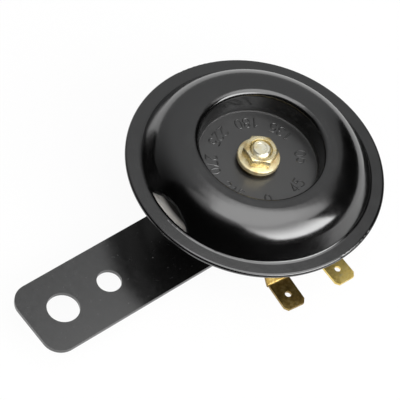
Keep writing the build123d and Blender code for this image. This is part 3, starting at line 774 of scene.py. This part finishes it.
# the paint dries duller on the floor of the recess, and most where it pools in the corner
pool_start, pool_full, wall_foot, wall_clear = 14.8 * MM, 15.4 * MM, 15.82 * MM, 16.0 * MM
floor_dull = by_radius(tree, pool_start, 0.20, pool_full, 0.50)
wall_start = by_radius(tree, wall_foot, 1.0, wall_clear, 0.0)
dull_added = tree.nodes.new("ShaderNodeMath")
dull_added.operation = "MULTIPLY"
tree.links.new(floor_dull, dull_added.inputs[0])
tree.links.new(wall_start, dull_added.inputs[1])
rough_sum = tree.nodes.new("ShaderNodeMath")
rough_sum.operation = "ADD"
tree.links.new(sheen, rough_sum.inputs[0])
tree.links.new(dull_added.outputs[0], rough_sum.inputs[1])
tree.links.new(rough_sum.outputs[0], shader.inputs["Roughness"])
relief(tree, shader, grain(tree, 620.0, 3.0, 0.45), 0.010 * MM)
dress("tone_disc", gloss)

# ---- numbers on the recess -----------------------------------------------------------
# Plain raised numbers in eighths of a circle, coined into the floor of the recess from
# behind and painted over with it. Each stroke is a low rounded ridge.

def bow(x, y, across, along, start, end, step=18):
    """Part of an ellipse, in degrees, as points of a stroke."""
    steps = max(4, round(abs(end - start) / step))
    made = []
    for i in range(steps + 1):
        angle = math.radians(start + (end - start) * i / steps)
        made.append((x + across * math.cos(angle), y + along * math.sin(angle)))
    return made


# strokes of each digit in a box 0.55 wide and 1 high
digit_middle = (0.275, 0.5)
digit_strokes = {
    "0": [bow(0.275, 0.5, 0.275, 0.5, 0, 360)],
    "1": [[(0.08, 0.76), (0.20, 0.86), (0.32, 1.0), (0.32, 0.5), (0.32, 0.0)]],
    "2": [bow(0.275, 0.72, 0.265, 0.28, 165, -25) + [(0.27, 0.28), (0.0, 0.0)],
          [(0.0, 0.0), (0.28, 0.0), (0.55, 0.0)]],
    "3": [bow(0.26, 0.75, 0.24, 0.25, 150, -90) + bow(0.26, 0.26, 0.28, 0.26, 88, -155)],
    "4": [[(0.42, 0.0), (0.42, 0.5), (0.42, 1.0), (0.2, 0.64), (0.0, 0.3)],
          [(0.0, 0.3), (0.28, 0.3), (0.56, 0.3)]],
    "5": [[(0.5, 1.0), (0.3, 1.0), (0.09, 1.0), (0.05, 0.56)]
          + bow(0.26, 0.32, 0.28, 0.32, 125, -150)],
    "7": [[(0.0, 1.0), (0.28, 1.0), (0.55, 1.0), (0.32, 0.45), (0.18, 0.0)]],
    "8": [bow(0.275, 0.755, 0.225, 0.245, -90, 270), bow(0.275, 0.26, 0.275, 0.26, 90, 450)],
    "9": [bow(0.275, 0.69, 0.265, 0.31, 0, 360),
          [(0.54, 0.69)] + bow(0.06, 0.62, 0.48, 0.62, 0, -75)],
}
digit_height, digit_step, digit_circle = 2.9 * MM, 2.2 * MM, 12.0 * MM
stroke_half, stroke_height, stroke_sunk = 0.22 * MM, 0.18 * MM, 0.02 * MM
stroke_section = ((-1.0, 0.0), (-0.62, 0.72), (0.0, 1.0), (0.62, 0.72), (1.0, 0.0))
first_number_turn, eighth_turn = -116.0, 45
floor_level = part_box("front_washer")[0][2]


def stroke_ridge(bm, points):
    """Rounded ridge along the points of one stroke, on the floor of the recess."""
    rows = []
    for i, point in enumerate(points):
        before, after = points[max(0, i - 1)], points[min(len(points) - 1, i + 1)]
        if points[0] == points[-1] and i in (0, len(points) - 1):
            before, after = points[-2], points[1]
        along = Vector((after[0] - before[0], after[1] - before[1])).normalized()
        side = Vector((-along.y, along.x))
        rows.append([bm.verts.new((
            point[0] + side.x * stroke_half * across, point[1] + side.y * stroke_half * across,
            floor_level - stroke_sunk + (stroke_height + stroke_sunk) * up))
            for across, up in stroke_section])
    for lower, upper in zip(rows, rows[1:]):
        for k in range(len(stroke_section) - 1):
            bm.faces.new((lower[k], lower[k + 1], upper[k + 1], upper[k]))
    bm.faces.new(rows[0])
    bm.faces.new(rows[-1])


bm = bmesh.new()
for eighth in range(8):
    number = str(eighth_turn * eighth)
    for order, digit in enumerate(number):
        offset = (order - (len(number) - 1) / 2) * digit_step / digit_circle
        turn = math.radians(first_number_turn + eighth_turn * eighth) + offset
        outward = Vector((math.cos(turn), math.sin(turn)))
        rightward = Vector((-math.sin(turn), math.cos(turn)))
        middle = Vector((horn_x, 0)) + digit_circle * outward
        for stroke in digit_strokes[digit]:
            placed = []
            for x, y in stroke:
                spot = (middle + (x - digit_middle[0]) * digit_height * rightward
                        - (y - digit_middle[1]) * digit_height * outward)
                placed.append((spot.x, spot.y))
            if stroke[0] == stroke[-1] or math.dist(stroke[0], stroke[-1]) < 1e-6:
                placed[-1] = placed[0]
            stroke_ridge(bm, placed)
numbers = turned_piece("recess_numbers", bm, gloss, sharp=60.0)
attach(numbers, "tone_disc_group")

# ---- front washers -------------------------------------------------------------------
# Flat washer and a dished washer over it, blanked from steel and yellow zinc plated. The
# flat one is coloured nearly black and dull, and the top of the dished one is nearly cream.

dress("front_washer", yellow_zinc("flat_washer_zinc", (0.10, 0.08, 0.04), (0.05, 0.04, 0.02),
                                  (0.16, 0.13, 0.07), 0.42))
soften(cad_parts["front_washer"], 0.10 * MM)
dished_zinc = yellow_zinc("dished_washer_zinc", (0.78, 0.66, 0.38), (0.66, 0.46, 0.22),
                          (0.86, 0.79, 0.54), 0.34, 0.68)
dish_low, dish_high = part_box("dished_washer")[0][2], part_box("dished_washer")[1][2]
dish_bore, dish_seat, dish_radius = 2.65 * MM, 4.0 * MM, 5.6 * MM
dish_fall, dish_hollow, dish_round, dish_burr = 0.20 * MM, 0.55 * MM, 0.34 * MM, 0.1 * MM
dish_steps, round_turn, round_points = 96, 15, 7
bm = bmesh.new()
dish_outline = [(dish_bore, dish_low + dish_hollow), (dish_bore, dish_high),
                (dish_seat, dish_high)]
round_centre = (dish_radius - dish_round, dish_high - dish_fall - dish_round)
for i in range(round_points):
    turn = math.radians(90 - round_turn * i)
    dish_outline.append((round_centre[0] + dish_round * math.cos(turn),
                         round_centre[1] + dish_round * math.sin(turn)))
dish_outline += [(dish_radius, dish_low + dish_burr), (dish_radius - dish_burr, dish_low)]
dish_rings = [ring(bm, radius, level, dish_steps) for radius, level in dish_outline]
for lower, upper in zip(dish_rings, dish_rings[1:] + dish_rings[:1]):
    join_rings(bm, lower, upper)
dish = turned_piece("dished_front_washer", bm, dished_zinc, sharp=30.0)
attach(dish, "tone_disc_group")
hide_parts("dished_washer")

# ---- front nut -----------------------------------------------------------------------
# Cold-formed hexagon nut of 8 mm across flats that clamps the tone disc. It is chamfered on
# both faces and countersunk at both ends of its bore, and its plating is clouded yellow.

nut_plating = yellow_zinc("nut_yellow_zinc", (0.76, 0.62, 0.32), (0.54, 0.35, 0.12),
                          (0.84, 0.76, 0.52), 0.26, 0.92)
nut_flats, nut_bore, nut_mouth, nut_turn = 8.0 * MM, 2.6 * MM, 3.08 * MM, -98.0
nut_face, nut_slope, mouth_drop = 3.92 * MM, 24.0, 0.8 * MM
nut_steps, nut_sharp = 96, 15.0
nut_low, nut_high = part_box("front_nut")[0][2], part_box("front_nut")[1][2]


def hexagon_ring(bm, widest, level_at):
    """Ring on a hexagon, no wider than a circle, at levels that depend on the radius."""
    made = []
    for i in range(nut_steps):
        angle = 2 * math.pi * i / nut_steps
        side = (angle + math.pi / 6) % (math.pi / 3) - math.pi / 6
        corner = math.pi / 6 - abs(side)
        radius = min(widest, nut_flats / 2 / math.cos(corner))
        turn = angle + math.radians(nut_turn)
        made.append(bm.verts.new((horn_x + radius * math.cos(turn), radius * math.sin(turn),
                                  level_at(radius))))
    return made


def nut_fall(radius):
    return max(0.0, radius - nut_face) * math.tan(math.radians(nut_slope))


bm = bmesh.new()
nut_turn_rad = math.radians(nut_turn)
nut_rings = [
    ring(bm, nut_bore, nut_low + mouth_drop, nut_steps, nut_turn_rad),
    ring(bm, nut_bore, nut_high - mouth_drop, nut_steps, nut_turn_rad),
    ring(bm, nut_mouth, nut_high, nut_steps, nut_turn_rad),
    hexagon_ring(bm, nut_face, lambda radius: nut_high),
    hexagon_ring(bm, nut_flats, lambda radius: nut_high - nut_fall(radius)),
    hexagon_ring(bm, nut_flats, lambda radius: nut_low + nut_fall(radius)),
    hexagon_ring(bm, nut_face, lambda radius: nut_low),
    ring(bm, nut_mouth, nut_low, nut_steps, nut_turn_rad),
]
for lower, upper in zip(nut_rings, nut_rings[1:] + nut_rings[:1]):
    join_rings(bm, lower, upper)
nut = turned_piece("front_hexagon_nut", bm, nut_plating, sharp=nut_sharp)
soften(nut, 0.07 * MM, nut_sharp)
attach(nut, "tone_disc_group")
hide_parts("front_nut")
